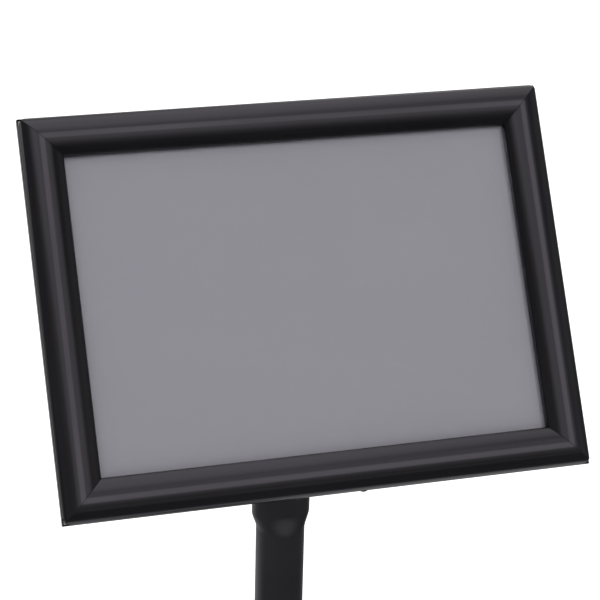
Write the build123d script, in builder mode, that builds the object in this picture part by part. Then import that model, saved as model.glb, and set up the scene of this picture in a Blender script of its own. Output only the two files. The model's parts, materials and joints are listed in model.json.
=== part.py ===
"""Free-standing sign stand: tilting A4 snap frame on a telescopic mast with a round base.

Units are millimetres. +Z is up, +X is the reader's right and -Y faces the reader.
The origin is on the floor, on the mast's axis.
"""
from build123d import *
from math import acos, cos, degrees, radians, sin
import os

os.makedirs("parts", exist_ok=True)

# ---------------------------------------------------------------- driving dimensions
# Base
base_diameter = 300.0
base_thickness = 6.0
base_edge_radius = 1.5
foot_diameter = 24.0
foot_height = 3.0
foot_recess = 1.0
foot_inset = 25.0
foot_count = 4
foot_screw_radius = 5.0
foot_screw_head_radius = 10.0
foot_screw_length = 26.0
foot_plug_length = 30.0
foot_trim_width = 15.0
foot_trim_height = 12.0
foot_trim_edge = 2.0
locating_pin_radius = 2.0
locating_pin_length = 9.0
locating_pin_offset = 12.0

# Mast
lower_tube_diameter = 38.0
upper_tube_diameter = 32.0
tube_wall = 1.5
lower_tube_length = 640.0
exposed_length = 135.0
insertion = 300.0
flare_length = 11.0
head_width = 38.5
head_thickness = 20.6
head_length = 193.0
pivot_drop = 14.0
bush_length = 45.0
bush_flange = 2.0
glide_rim = 25.0
glide_spigot = 20.0
head_plug_depth = 42.0
head_plug_flange = 3.0

# Height clamp
collar_wall = 4.5
collar_overlap = 38.0
collar_rise = 34.0
collar_bore_gap = 0.4
boss_radius = 11.0
boss_length = 14.0
grub_radius = 2.5
grub_height = 15.0
stud_radius = 4.0
clamp_pad_radius = 3.8
clamp_pad_length = 4.0
clamp_stud_length = 34.0
knob_standoff = 3.0

# Knobs
knob_radius = 20.0
knob_height = 15.0
knob_lobes = 5
knob_scallop_radius = 8.0
knob_scallop_offset = 25.0
knob_hub_radius = 10.0
knob_hub_height = 8.0
knob_edge_radius = 1.5
knob_insert_radius = 6.5
knob_insert_length = 14.0

# Tilt bracket
tilt_angle = 32.0
pivot_depth = 36.0
pivot_rise = 31.0
sheet = 2.5
cheek_radius = 13.0
cheek_gap = 0.2
bracket_above = 48.0
bracket_below = 24.0
bracket_corner_radius = 4.0
saddle_radius = 10.0
saddle_reach = 2.8
bolt_head_radius = 9.0
bolt_head_height = 4.5
washer_radius = 9.0
washer_thickness = 1.6

# Turning joint behind the frame
cross_bar_width = 60.0
cross_bar_end_gap = 1.0
friction_disc_radius = 22.0
friction_disc_thickness = 0.5
nut_radius = 7.4
nut_height = 8.0
rivet_radius = 1.6
rivet_head_radius = 4.0
rivet_head_height = 1.0
rivet_tail_radius = 2.3
rivet_tail_height = 1.2
rivet_half_spacing = 20.0

# Snap frame
paper_width = 297.0
paper_height = 210.0
paper_overlap = 10.0
rail_width = 25.0
rail_height = 12.5
rail_wall = 1.2
shoulder_inset = 2.5
shoulder_drop = 3.033
lip_corner_radius = 1.5
hinge_inset = 2.9
hinge_height = 5.9
bead_radius = 1.4
claw_start_angle = 215.0
claw_end_angle = 60.0
claw_leave_angle = 150.0
floor_thickness = 1.0
floor_setback = 3.0
side_wall_thickness = 0.9
side_wall_height = 4.1
side_wall_inner_height = 3.0
rib_inset = 6.0
neck_thickness = 1.2
panel_margin = 2.0
panel_thickness = 1.5
paper_thickness = 0.3
cover_thickness = 0.5
rail_corner_cut = 3.8
key_leg = 22.0
key_width = 3.2
key_thickness = 1.4
spring_thickness = 0.5
spring_width = 14.0
spring_foot_inset = 8.2
spring_belly_inset = 11.6
spring_top_inset = 9.4
spring_top_drop = 2.2
long_spring_half_spacing = 75.0
short_spring_half_spacing = 45.0

# Clearances
running_fit = 0.1
slip_fit = 0.05
turn_gap = 0.05
pad_gap = 0.05
mitre_gap = 0.06
claw_mitre_gap = 3.9
lip_gap = 0.4

# ---------------------------------------------------------------- derived places
frame_width = paper_width + 2 * (rail_width - paper_overlap)
frame_height = paper_height + 2 * (rail_width - paper_overlap)
base_bottom = foot_height - foot_recess
base_top = base_bottom + base_thickness
foot_circle_radius = base_diameter / 2 - foot_inset
lower_radius = lower_tube_diameter / 2
lower_bore = lower_radius - tube_wall
upper_radius = upper_tube_diameter / 2
upper_bore = upper_radius - tube_wall
lower_tube_top = base_top + lower_tube_length
collar_bottom = lower_tube_top - collar_overlap
collar_top = lower_tube_top + collar_rise
flare_bottom = collar_top + exposed_length
flare_top = flare_bottom + flare_length
head_top = flare_top + head_length
pivot_height = head_top - pivot_drop
upper_tube_bottom = lower_tube_top - insertion
clamp_height = (lower_tube_top + bush_flange + collar_top) / 2

tilt = radians(tilt_angle)
normal = Vector(0, -cos(tilt), sin(tilt))
upward = Vector(0, sin(tilt), cos(tilt))
pivot = Vector(0, 0, pivot_height)
frame_centre = pivot + normal * pivot_depth - upward * pivot_rise
FRAME = Plane(origin=frame_centre, x_dir=(1, 0, 0), z_dir=normal)

panel_top = floor_thickness + panel_thickness
paper_top = panel_top + paper_thickness
cover_top = paper_top + cover_thickness
bar_back = -sheet
disc_back = bar_back - friction_disc_thickness
bracket_front = disc_back - turn_gap
bracket_back = bracket_front - sheet
nut_washer_front = bracket_back - turn_gap
nut_front = nut_washer_front - washer_thickness
nut_back = nut_front - nut_height
cheek_inner = head_width / 2 + saddle_reach + cheek_gap
cheek_outer = cheek_inner + sheet
tilt_washer_outer = cheek_outer + washer_thickness
rivet_row_spacing = frame_height - (side_wall_thickness + rib_inset)


# ---------------------------------------------------------------- shared shapes
def x_plane(x, y, z):
    """Sketch plane facing +X, with its own x axis along +Y."""
    return Plane(origin=(x, y, z), x_dir=(0, 1, 0), z_dir=(1, 0, 0))


def side_plane(out_x, out_y, half):
    """Profile plane of one side of the frame: x runs inward, y along the frame's normal."""
    origin = FRAME.from_local_coords((out_x * half, out_y * half, 0))
    inward = FRAME.x_dir * -out_x + FRAME.y_dir * -out_y
    return Plane(origin=origin, x_dir=inward, z_dir=inward.cross(FRAME.z_dir))


def end_cut(plane, half_length, gap, end, lean=1):
    """45 degree cut at one end of a side, its normal pointing out of the side.

    A lean of 1 is the mitre; a lean of -1 clips the sharp outer corner square to it.
    """
    origin = plane.from_local_coords((0, 0, end * (half_length - gap)))
    outward = plane.x_dir * lean + plane.z_dir * end
    return Plane(origin=origin, x_dir=plane.y_dir, z_dir=outward)


def star_knob(plane, bore_radius, bore_depth):
    """Five-lobed knob whose hub starts on the plane, bored from the hub side."""
    with BuildPart() as knob:
        with BuildSketch(plane):
            Circle(knob_hub_radius)
        extrude(amount=knob_hub_height)
        with BuildSketch(plane.offset(knob_hub_height)):
            Circle(knob_radius)
            with PolarLocations(knob_scallop_offset, knob_lobes):
                Circle(knob_scallop_radius, mode=Mode.SUBTRACT)
        extrude(amount=knob_height)
        crown = knob.faces().sort_by(Axis(plane.origin, plane.z_dir))[-1]
        fillet(crown.edges(), knob_edge_radius)
        with BuildSketch(plane):
            Circle(bore_radius)
        extrude(amount=bore_depth, mode=Mode.SUBTRACT)
    return knob.part


def ring(plane, outer, inner, height):
    """Plain washer or sleeve standing on a plane."""
    with BuildPart() as sleeve:
        with BuildSketch(plane):
            Circle(outer)
            Circle(inner, mode=Mode.SUBTRACT)
        extrude(amount=height)
    return sleeve.part


# ---------------------------------------------------------------- base
with BuildPart() as base_plate:
    with BuildSketch(Plane.XY.offset(base_bottom)):
        Circle(base_diameter / 2)
    extrude(amount=base_thickness)
    fillet(base_plate.edges().group_by(Axis.Z)[-1], base_edge_radius)
    with Locations(Plane.XY.offset(base_bottom)):
        with PolarLocations(foot_circle_radius, foot_count, start_angle=45):
            Cylinder(
                foot_diameter / 2 + slip_fit,
                foot_recess,
                align=(Align.CENTER, Align.CENTER, Align.MIN),
                mode=Mode.SUBTRACT,
            )
        Cone(
            foot_screw_head_radius + slip_fit,
            foot_screw_radius + slip_fit,
            foot_screw_radius,
            align=(Align.CENTER, Align.CENTER, Align.MIN),
            mode=Mode.SUBTRACT,
        )
        Cylinder(
            foot_screw_radius + slip_fit,
            base_thickness,
            align=(Align.CENTER, Align.CENTER, Align.MIN),
            mode=Mode.SUBTRACT,
        )
    with BuildSketch(Plane.XY.offset(base_top)):
        with Locations((0, locating_pin_offset)):
            Circle(locating_pin_radius)
    extrude(amount=-locating_pin_length / 2, mode=Mode.SUBTRACT)
base_plate.part.label = "base_plate"
export_step(base_plate.part, "parts/base_plate.step")

with BuildPart() as rubber_feet:
    with BuildSketch():
        with PolarLocations(foot_circle_radius, foot_count, start_angle=45):
            Circle(foot_diameter / 2)
    extrude(amount=foot_height)
rubber_feet.part.label = "rubber_feet"
export_step(rubber_feet.part, "parts/rubber_feet.step")

with BuildPart() as foot_screw:
    with Locations(Plane.XY.offset(base_bottom)):
        Cone(
            foot_screw_head_radius,
            foot_screw_radius,
            foot_screw_radius,
            align=(Align.CENTER, Align.CENTER, Align.MIN),
        )
        Cylinder(
            foot_screw_radius,
            foot_screw_length,
            align=(Align.CENTER, Align.CENTER, Align.MIN),
        )
    with BuildSketch(Plane.XY.offset(base_bottom)):
        RegularPolygon(foot_screw_radius * 0.6, 6)
    extrude(amount=foot_screw_radius * 0.7, mode=Mode.SUBTRACT)
foot_screw.part.label = "foot_screw"
export_step(foot_screw.part, "parts/foot_screw.step")

with BuildPart() as foot_plug:
    with BuildSketch(Plane.XY.offset(base_top)):
        Circle(lower_bore - slip_fit)
        Circle(foot_screw_radius + slip_fit, mode=Mode.SUBTRACT)
        with Locations((0, locating_pin_offset)):
            Circle(locating_pin_radius, mode=Mode.SUBTRACT)
    extrude(amount=foot_plug_length)
foot_plug.part.label = "foot_plug"
export_step(foot_plug.part, "parts/foot_plug.step")

with BuildPart() as locating_pin:
    with BuildSketch(Plane.XY.offset(base_top - locating_pin_length / 2)):
        with Locations((0, locating_pin_offset)):
            Circle(locating_pin_radius - slip_fit)
    extrude(amount=locating_pin_length)
locating_pin.part.label = "locating_pin"
export_step(locating_pin.part, "parts/locating_pin.step")

with BuildPart() as foot_trim:
    with BuildSketch(Plane.XZ):
        with BuildLine():
            foot = Line(
                (lower_radius + slip_fit, base_top),
                (lower_radius + foot_trim_width, base_top),
            )
            edge = Line(foot @ 1, (lower_radius + foot_trim_width, base_top + foot_trim_edge))
            slope = EllipticalCenterArc(
                (lower_radius + foot_trim_width, base_top + foot_trim_height),
                foot_trim_width - foot_trim_edge,
                foot_trim_height - foot_trim_edge,
                start_angle=180,
                arc_size=90,
            )
            Line(slope @ 0, (lower_radius + slip_fit, base_top + foot_trim_height))
            Line((lower_radius + slip_fit, base_top + foot_trim_height), foot @ 0)
        make_face()
    revolve(axis=Axis.Z)
foot_trim.part.label = "foot_trim"
export_step(foot_trim.part, "parts/foot_trim.step")

with BuildPart() as lower_tube:
    with BuildSketch(Plane.XY.offset(base_top)):
        Circle(lower_radius)
        Circle(lower_bore, mode=Mode.SUBTRACT)
    extrude(amount=lower_tube_length)
    with BuildSketch(x_plane(0, 0, collar_bottom + grub_height)):
        Circle(grub_radius + slip_fit)
    extrude(amount=lower_radius + collar_wall, both=True, mode=Mode.SUBTRACT)
lower_tube.part.label = "lower_tube"
export_step(lower_tube.part, "parts/lower_tube.step")

with BuildPart() as guide_bush:
    with BuildSketch(Plane.XY.offset(lower_tube_top - bush_length)):
        Circle(lower_bore - slip_fit)
    extrude(amount=bush_length)
    with BuildSketch(Plane.XY.offset(lower_tube_top)):
        Circle(lower_radius)
    extrude(amount=bush_flange)
    with BuildSketch(Plane.XY.offset(lower_tube_top - bush_length)):
        Circle(upper_radius + running_fit)
    extrude(amount=bush_length + bush_flange, mode=Mode.SUBTRACT)
guide_bush.part.label = "guide_bush"
export_step(guide_bush.part, "parts/guide_bush.step")

# ---------------------------------------------------------------- height clamp
collar_outer = lower_radius + collar_wall
boss_end = collar_outer + boss_length
with BuildPart() as clamp_collar:
    with BuildSketch(Plane.XY.offset(collar_bottom)):
        Circle(collar_outer)
    extrude(amount=collar_top - collar_bottom)
    fillet(clamp_collar.edges().filter_by(GeomType.CIRCLE), collar_wall / 3)
    with BuildSketch(x_plane(0, 0, clamp_height)):
        Circle(boss_radius)
    extrude(amount=boss_end)
    with BuildSketch(Plane.XY.offset(collar_bottom)):
        Circle(lower_radius + slip_fit)
    extrude(amount=collar_overlap + bush_flange + slip_fit, mode=Mode.SUBTRACT)
    with BuildSketch(Plane.XY.offset(collar_bottom)):
        Circle(upper_radius + collar_bore_gap)
    extrude(amount=collar_top - collar_bottom, mode=Mode.SUBTRACT)
    with BuildSketch(x_plane(0, 0, clamp_height)):
        Circle(stud_radius + running_fit)
    extrude(amount=boss_end, mode=Mode.SUBTRACT)
    with BuildSketch(x_plane(0, 0, collar_bottom + grub_height)):
        Circle(grub_radius + slip_fit)
    extrude(amount=collar_outer, both=True, mode=Mode.SUBTRACT)
clamp_collar.part.label = "clamp_collar"
export_step(clamp_collar.part, "parts/clamp_collar.step")

with BuildPart() as grub_screws:
    for side in (-1, 1):
        with BuildSketch(x_plane(side * (lower_bore + slip_fit), 0, collar_bottom + grub_height)):
            Circle(grub_radius)
        extrude(amount=side * (collar_outer - lower_bore - 1))
grub_screws.part.label = "grub_screws"
export_step(grub_screws.part, "parts/grub_screws.step")

with BuildPart() as clamp_pad:
    with BuildSketch(x_plane(upper_radius + pad_gap, 0, clamp_height)):
        Circle(clamp_pad_radius)
    extrude(amount=clamp_pad_length)
clamp_pad.part.label = "clamp_pad"
export_step(clamp_pad.part, "parts/clamp_pad.step")

stud_start = upper_radius + pad_gap + clamp_pad_length
with BuildPart() as clamp_stud:
    with BuildSketch(x_plane(stud_start, 0, clamp_height)):
        Circle(stud_radius)
    extrude(amount=clamp_stud_length)
clamp_stud.part.label = "clamp_stud"
export_step(clamp_stud.part, "parts/clamp_stud.step")

clamp_knob_start = boss_end + knob_standoff
clamp_bore_depth = stud_start + clamp_stud_length - clamp_knob_start + slip_fit
clamp_knob_plane = x_plane(clamp_knob_start, 0, clamp_height)
clamp_knob = star_knob(clamp_knob_plane, stud_radius + slip_fit, clamp_bore_depth)
clamp_knob.label = "clamp_knob"
export_step(clamp_knob, "parts/clamp_knob.step")

# ---------------------------------------------------------------- mast
with BuildPart() as upper_tube:
    with BuildSketch(Plane.XY.offset(upper_tube_bottom)):
        Circle(upper_radius)
    extrude(amount=flare_bottom - upper_tube_bottom)
    with BuildSketch(Plane.XY.offset(flare_bottom)):
        Circle(upper_radius)
    with BuildSketch(Plane.XY.offset(flare_top)):
        SlotOverall(head_width, head_thickness)
    loft()
    with BuildSketch(Plane.XY.offset(flare_top)):
        SlotOverall(head_width, head_thickness)
    extrude(amount=head_length)
    with BuildSketch(Plane.XY.offset(upper_tube_bottom)):
        Circle(upper_bore)
    extrude(amount=flare_bottom - upper_tube_bottom, mode=Mode.SUBTRACT)
    with BuildSketch(Plane.XY.offset(flare_bottom)):
        Circle(upper_bore)
    with BuildSketch(Plane.XY.offset(flare_top)):
        SlotOverall(head_width - 2 * tube_wall, head_thickness - 2 * tube_wall)
    loft(mode=Mode.SUBTRACT)
    with BuildSketch(Plane.XY.offset(flare_top)):
        SlotOverall(head_width - 2 * tube_wall, head_thickness - 2 * tube_wall)
    extrude(amount=head_length, mode=Mode.SUBTRACT)
    with BuildSketch(x_plane(0, 0, pivot_height)):
        Circle(stud_radius + running_fit)
    extrude(amount=head_width, both=True, mode=Mode.SUBTRACT)
upper_tube.part.label = "upper_tube"
export_step(upper_tube.part, "parts/upper_tube.step")

with BuildPart() as mast_glide:
    with BuildSketch(Plane.XY.offset(upper_tube_bottom - glide_rim)):
        Circle(lower_bore - running_fit)
    extrude(amount=glide_rim)
    with BuildSketch(Plane.XY.offset(upper_tube_bottom)):
        Circle(upper_bore - slip_fit)
    extrude(amount=glide_spigot)
mast_glide.part.label = "mast_glide"
export_step(mast_glide.part, "parts/mast_glide.step")

with BuildPart() as head_plug:
    with BuildSketch(Plane.XY.offset(head_top - head_plug_depth)):
        SlotOverall(
            head_width - 2 * (tube_wall + slip_fit),
            head_thickness - 2 * (tube_wall + slip_fit),
        )
    extrude(amount=head_plug_depth)
    with BuildSketch(Plane.XY.offset(head_top)):
        SlotOverall(head_width, head_thickness)
    extrude(amount=head_plug_flange)
    fillet(head_plug.edges().group_by(Axis.Z)[-1], head_plug_flange / 2)
    with BuildSketch(x_plane(0, 0, pivot_height)):
        Circle(stud_radius + running_fit)
    extrude(amount=head_width, both=True, mode=Mode.SUBTRACT)
head_plug.part.label = "head_plug"
export_step(head_plug.part, "parts/head_plug.step")

saddle_root = (head_width - head_thickness) / 2 + saddle_reach
with BuildPart() as saddle_washers:
    for side in (-1, 1):
        with BuildSketch(x_plane(side * saddle_root, 0, pivot_height)):
            Circle(saddle_radius)
        extrude(amount=side * (head_width / 2 + saddle_reach - saddle_root))
    with BuildSketch(Plane.XY.offset(pivot_height - saddle_radius)):
        SlotOverall(head_width + 2 * slip_fit, head_thickness + 2 * slip_fit)
    extrude(amount=2 * saddle_radius, mode=Mode.SUBTRACT)
    with BuildSketch(x_plane(0, 0, pivot_height)):
        Circle(stud_radius + running_fit)
    extrude(amount=head_width, both=True, mode=Mode.SUBTRACT)
saddle_washers.part.label = "saddle_washers"
export_step(saddle_washers.part, "parts/saddle_washers.step")

# ---------------------------------------------------------------- tilt bracket
cheek_run = pivot_depth + bracket_front
with BuildPart() as tilt_bracket:
    with BuildSketch(FRAME.offset(bracket_back)):
        with Locations((0, (bracket_above - bracket_below) / 2)):
            RectangleRounded(2 * cheek_outer, bracket_above + bracket_below, bracket_corner_radius)
        Circle(stud_radius + running_fit, mode=Mode.SUBTRACT)
    extrude(amount=sheet)
    for cheek_start in (-cheek_outer, cheek_inner):
        pivot_plane = Plane(
            origin=FRAME.from_local_coords((cheek_start, pivot_rise, -pivot_depth)),
            x_dir=FRAME.y_dir,
            z_dir=FRAME.x_dir,
        )
        with BuildSketch(pivot_plane):
            Circle(cheek_radius)
            Rectangle(2 * cheek_radius, cheek_run, align=(Align.CENTER, Align.MIN))
            Circle(stud_radius + running_fit, mode=Mode.SUBTRACT)
        extrude(amount=sheet)
tilt_bracket.part.label = "tilt_bracket"
export_step(tilt_bracket.part, "parts/tilt_bracket.step")

tilt_bolt_end = tilt_washer_outer + knob_insert_length
with BuildPart() as tilt_bolt:
    with BuildSketch(x_plane(-cheek_outer, 0, pivot_height)):
        Circle(stud_radius)
    extrude(amount=cheek_outer + tilt_bolt_end)
    with BuildSketch(x_plane(-cheek_outer, 0, pivot_height)):
        Circle(bolt_head_radius)
    extrude(amount=-bolt_head_height)
    fillet(tilt_bolt.edges().group_by(Axis.X)[0], bolt_head_height * 0.6)
tilt_bolt.part.label = "tilt_bolt"
export_step(tilt_bolt.part, "parts/tilt_bolt.step")

tilt_washer = ring(
    x_plane(cheek_outer, 0, pivot_height), washer_radius, stud_radius + running_fit, washer_thickness
)
tilt_washer.label = "tilt_washer"
export_step(tilt_washer, "parts/tilt_washer.step")

tilt_knob_plane = x_plane(tilt_washer_outer, 0, pivot_height)
tilt_knob = star_knob(tilt_knob_plane, knob_insert_radius + slip_fit, knob_insert_length + 1)
tilt_knob.label = "tilt_knob"
export_step(tilt_knob, "parts/tilt_knob.step")

tilt_knob_insert = ring(tilt_knob_plane, knob_insert_radius, stud_radius + running_fit, knob_insert_length)
tilt_knob_insert.label = "tilt_knob_insert"
export_step(tilt_knob_insert, "parts/tilt_knob_insert.step")

# ---------------------------------------------------------------- turning joint
bar_half_length = frame_height / 2 - cross_bar_end_gap
with BuildPart() as cross_bar:
    with BuildSketch(FRAME.offset(bar_back)):
        Rectangle(cross_bar_width, 2 * bar_half_length)
        Circle(stud_radius + slip_fit, mode=Mode.SUBTRACT)
        with GridLocations(2 * rivet_half_spacing, rivet_row_spacing, 2, 2):
            Circle(rivet_radius + slip_fit, mode=Mode.SUBTRACT)
    extrude(amount=sheet)
cross_bar.part.label = "cross_bar"
export_step(cross_bar.part, "parts/cross_bar.step")

with BuildPart() as bar_rivets:
    with BuildSketch(FRAME.offset(bar_back)):
        with GridLocations(2 * rivet_half_spacing, rivet_row_spacing, 2, 2):
            Circle(rivet_radius)
    extrude(amount=floor_thickness - bar_back)
    with BuildSketch(FRAME.offset(bar_back)):
        with GridLocations(2 * rivet_half_spacing, rivet_row_spacing, 2, 2):
            Circle(rivet_head_radius)
    extrude(amount=-rivet_head_height)
    with BuildSketch(FRAME.offset(floor_thickness)):
        with GridLocations(2 * rivet_half_spacing, rivet_row_spacing, 2, 2):
            Circle(rivet_tail_radius)
    extrude(amount=rivet_tail_height)
bar_rivets.part.label = "bar_rivets"
export_step(bar_rivets.part, "parts/bar_rivets.step")

with BuildPart() as turn_stud:
    with BuildSketch(FRAME):
        Circle(stud_radius)
    extrude(amount=nut_back - 1)
turn_stud.part.label = "turn_stud"
export_step(turn_stud.part, "parts/turn_stud.step")

friction_disc = ring(
    FRAME.offset(disc_back), friction_disc_radius, stud_radius + slip_fit, friction_disc_thickness
)
friction_disc.label = "friction_disc"
export_step(friction_disc, "parts/friction_disc.step")

turn_washer = ring(FRAME.offset(nut_front), washer_radius, stud_radius + slip_fit, washer_thickness)
turn_washer.label = "turn_washer"
export_step(turn_washer, "parts/turn_washer.step")

with BuildPart() as turn_nut:
    with BuildSketch(FRAME.offset(nut_back)):
        RegularPolygon(nut_radius, 6)
        Circle(stud_radius + slip_fit, mode=Mode.SUBTRACT)
    extrude(amount=nut_height)
turn_nut.part.label = "turn_nut"
export_step(turn_nut.part, "parts/turn_nut.step")

# ---------------------------------------------------------------- snap frame
dome_half_width = rail_width / 2 - shoulder_inset
dome_radius = (dome_half_width**2 + shoulder_drop**2) / (2 * shoulder_drop)
dome_centre = (rail_width / 2, rail_height - dome_radius)
dome_line_radius = dome_radius - rail_wall / 2
claw_line_radius = bead_radius + running_fit + rail_wall / 2
lip_x = rail_width - rail_wall / 2
lip_centre_x = lip_x - lip_corner_radius
lip_centre_angle = degrees(acos((lip_centre_x - dome_centre[0]) / (dome_line_radius - lip_corner_radius)))
lip_centre_y = dome_centre[1] + (dome_line_radius - lip_corner_radius) * sin(radians(lip_centre_angle))
shoulder_angle = 180 - degrees(acos(dome_half_width / dome_radius))
lip_bottom = cover_top + lip_gap
long_half = frame_width / 2
short_half = frame_height / 2
sides = {
    "top": (0, 1, short_half, long_half, long_spring_half_spacing),
    "bottom": (0, -1, short_half, long_half, long_spring_half_spacing),
    "left": (-1, 0, long_half, short_half, short_spring_half_spacing),
    "right": (1, 0, long_half, short_half, short_spring_half_spacing),
}

for name, (out_x, out_y, half_across, half_length, spring_half_spacing) in sides.items():
    profile = side_plane(out_x, out_y, half_across)

    with BuildPart() as base_profile:
        with BuildSketch(profile):
            Rectangle(rail_width - floor_setback, floor_thickness, align=(Align.MIN, Align.MIN))
            Polygon(
                (0, 0),
                (side_wall_thickness, 0),
                (side_wall_thickness, side_wall_inner_height),
                (0, side_wall_height),
                align=None,
            )
            with Locations((rib_inset, 0)):
                Rectangle(
                    floor_thickness,
                    hinge_height + neck_thickness / 2,
                    align=(Align.MIN, Align.MIN),
                )
            with Locations((hinge_inset, hinge_height)):
                Rectangle(rib_inset - hinge_inset, neck_thickness, align=(Align.MIN, Align.CENTER))
                Circle(bead_radius)
        extrude(amount=half_length, both=True)
        if out_y:
            with BuildSketch(FRAME.offset(floor_thickness)):
                with GridLocations(2 * rivet_half_spacing, rivet_row_spacing, 2, 2):
                    Circle(rivet_radius + slip_fit)
            extrude(amount=-floor_thickness, mode=Mode.SUBTRACT)
        for end in (-1, 1):
            split(bisect_by=end_cut(profile, half_length, mitre_gap, end), keep=Keep.BOTTOM)
    base_profile.part.label = name + "_base_profile"
    export_step(base_profile.part, "parts/" + name + "_base_profile.step")

    with BuildPart() as rail:
        with BuildSketch(profile):
            with BuildLine():
                CenterArc(
                    (hinge_inset, hinge_height),
                    claw_line_radius,
                    claw_end_angle,
                    claw_start_angle - claw_end_angle,
                )
            trace(line_width=rail_wall)
        extrude(amount=half_length, both=True)
        for end in (-1, 1):
            split(bisect_by=end_cut(profile, half_length, claw_mitre_gap, end), keep=Keep.BOTTOM)
        with BuildSketch(profile):
            with BuildLine():
                lip = Line((lip_x, lip_bottom), (lip_x, lip_centre_y))
                corner = CenterArc((lip_centre_x, lip_centre_y), lip_corner_radius, 0, lip_centre_angle)
                dome = CenterArc(
                    dome_centre, dome_line_radius, lip_centre_angle, shoulder_angle - lip_centre_angle
                )
                leave = Vector(hinge_inset, hinge_height) + Vector(claw_line_radius, 0).rotate(
                    Axis.Z, claw_leave_angle
                )
                TangentArc(dome @ 1, leave, tangent=dome % 1)
            trace(line_width=rail_wall)
        extrude(amount=half_length, both=True)
        for end in (-1, 1):
            split(bisect_by=end_cut(profile, half_length, mitre_gap, end), keep=Keep.BOTTOM)
            split(bisect_by=end_cut(profile, half_length, rail_corner_cut, end, -1), keep=Keep.BOTTOM)
    rail.part.label = name + "_rail"
    export_step(rail.part, "parts/" + name + "_rail.step")

    with BuildPart() as springs:
        for offset_along in (-spring_half_spacing, spring_half_spacing):
            with BuildSketch(profile.offset(offset_along)):
                with BuildLine():
                    ThreePointArc(
                        (spring_foot_inset, floor_thickness + spring_thickness),
                        (spring_belly_inset, hinge_height),
                        (spring_top_inset, rail_height - spring_top_drop),
                    )
                trace(line_width=spring_thickness)
            extrude(amount=spring_width / 2, both=True)
    springs.part.label = name + "_springs"
    export_step(springs.part, "parts/" + name + "_springs.step")

with BuildPart() as corner_keys:
    key_start = side_wall_thickness + slip_fit
    for sign_x in (-1, 1):
        for sign_y in (-1, 1):
            with BuildSketch(FRAME.offset(floor_thickness)):
                corner_x = sign_x * (long_half - key_start)
                corner_y = sign_y * (short_half - key_start)
                Polygon(
                    (corner_x, corner_y),
                    (corner_x - sign_x * key_leg, corner_y),
                    (corner_x - sign_x * key_leg, corner_y - sign_y * key_width),
                    (corner_x - sign_x * key_width, corner_y - sign_y * key_width),
                    (corner_x - sign_x * key_width, corner_y - sign_y * key_leg),
                    (corner_x, corner_y - sign_y * key_leg),
                    align=None,
                )
            extrude(amount=key_thickness)
corner_keys.part.label = "corner_keys"
export_step(corner_keys.part, "parts/corner_keys.step")

with BuildPart() as back_panel:
    with BuildSketch(FRAME.offset(floor_thickness)):
        Rectangle(paper_width + 2 * panel_margin, paper_height + 2 * panel_margin)
    extrude(amount=panel_thickness)
back_panel.part.label = "back_panel"
export_step(back_panel.part, "parts/back_panel.step")

with BuildPart() as insert_sheet:
    with BuildSketch(FRAME.offset(panel_top)):
        Rectangle(paper_width, paper_height)
    extrude(amount=paper_thickness)
insert_sheet.part.label = "insert_sheet"
export_step(insert_sheet.part, "parts/insert_sheet.step")

with BuildPart() as clear_cover:
    with BuildSketch(FRAME.offset(paper_top)):
        Rectangle(paper_width, paper_height)
    extrude(amount=cover_thickness)
clear_cover.part.label = "clear_cover"
export_step(clear_cover.part, "parts/clear_cover.step")
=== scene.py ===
"""Blender model of a free-standing sign stand with a tilting A4 snap frame.

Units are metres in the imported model's frame: +Z up, -Y towards the reader, the floor at z = 0.
Places come from the CAD nodes and joints; the sizes below add detail that the CAD leaves out.
"""
import json
from math import acos, cos, pi, radians, sin, tan

import bmesh
import bpy
from mathutils import Matrix, Vector


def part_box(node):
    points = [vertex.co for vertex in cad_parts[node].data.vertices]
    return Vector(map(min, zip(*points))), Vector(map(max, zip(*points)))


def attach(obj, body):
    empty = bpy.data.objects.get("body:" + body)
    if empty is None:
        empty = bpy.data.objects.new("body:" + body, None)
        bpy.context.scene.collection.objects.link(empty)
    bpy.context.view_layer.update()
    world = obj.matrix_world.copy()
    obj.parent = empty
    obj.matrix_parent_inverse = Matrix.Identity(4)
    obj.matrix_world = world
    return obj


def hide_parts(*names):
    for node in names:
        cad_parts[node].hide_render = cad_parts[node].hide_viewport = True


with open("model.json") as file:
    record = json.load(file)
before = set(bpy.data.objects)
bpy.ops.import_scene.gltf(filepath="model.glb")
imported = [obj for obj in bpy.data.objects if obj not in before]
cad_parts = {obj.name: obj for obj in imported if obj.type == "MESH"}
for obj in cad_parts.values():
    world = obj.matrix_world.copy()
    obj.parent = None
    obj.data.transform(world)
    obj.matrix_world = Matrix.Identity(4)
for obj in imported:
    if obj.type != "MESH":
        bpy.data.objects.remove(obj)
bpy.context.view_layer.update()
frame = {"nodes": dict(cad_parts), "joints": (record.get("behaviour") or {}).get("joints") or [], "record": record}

# ---------------------------------------------------------------- sizes
# Edge radii, from a barely broken edge to a soft one, and the gap to a neighbour's face
EDGE_TRACE = 0.0002
EDGE_FINE = 0.0003
EDGE_SOFT = 0.0004
EDGE_FULL = 0.0005
EDGE_ROUND = 0.0008
CLEARANCE = 0.00005
SMOOTH_ANGLE = radians(35)

# Snap rail section: x runs inward from the outer edge, y out of the frame's back plane
RAIL_WIDTH = 0.025
RAIL_WALL = 0.0012
DOME_CENTRE = Vector((0.0125, -0.0055))
DOME_RADIUS = 0.0174
DOME_END = radians(123.75)
LIP_RADIUS = 0.0015
LIP_X = RAIL_WIDTH - RAIL_WALL / 2
LIP_BOTTOM = 0.0037
LIP_STEPS = 4
CLAW_CENTRE = Vector((0.0029, 0.0059))
CLAW_RADIUS = 0.0021
CLAW_START = radians(60)
CLAW_LEAVE = radians(150)
CLAW_END = radians(215)
MITRE_GAP = 0.00006
CLAW_GAP = 0.0039
CORNER_CUT = 0.0038
CUT_EDGE = 0.00012
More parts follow.
